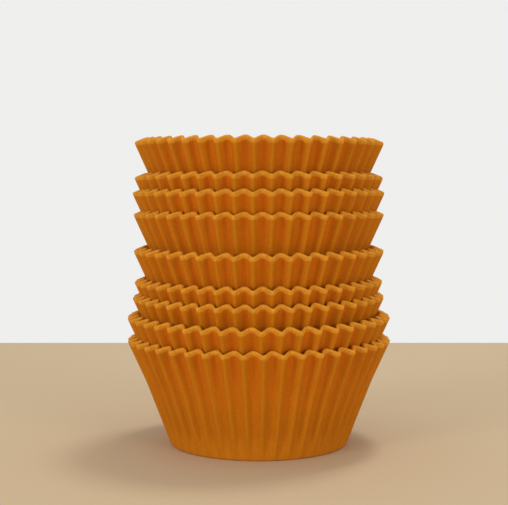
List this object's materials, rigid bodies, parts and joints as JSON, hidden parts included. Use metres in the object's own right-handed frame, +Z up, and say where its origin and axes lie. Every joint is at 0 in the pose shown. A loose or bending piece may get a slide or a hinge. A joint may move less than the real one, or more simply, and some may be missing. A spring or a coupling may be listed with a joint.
{
  "type": "stack of cupcake liners",
  "caption": "Upright stack of nested fluted cupcake liners, each a flat round base with a flaring pleated wall and an open mouth.",
  "frame": {"origin": "middle of the underside of the bottom liner, on the surface that it stands on", "axes": "+Z up the stack; the picture looks along +Y, with +X to its right"},
  "size_m": [0.0746, 0.0749, 0.0864],
  "materials": {
    "liner_paper": "matt orange"
  },
  "bodies": {
    "root": {"liner_1": "liner_paper", "liner_2": "liner_paper", "liner_3": "liner_paper", "liner_4": "liner_paper", "liner_5": "liner_paper", "liner_6": "liner_paper", "liner_7": "liner_paper", "liner_8": "liner_paper", "liner_9": "liner_paper"}
  },
  "joints": []
}
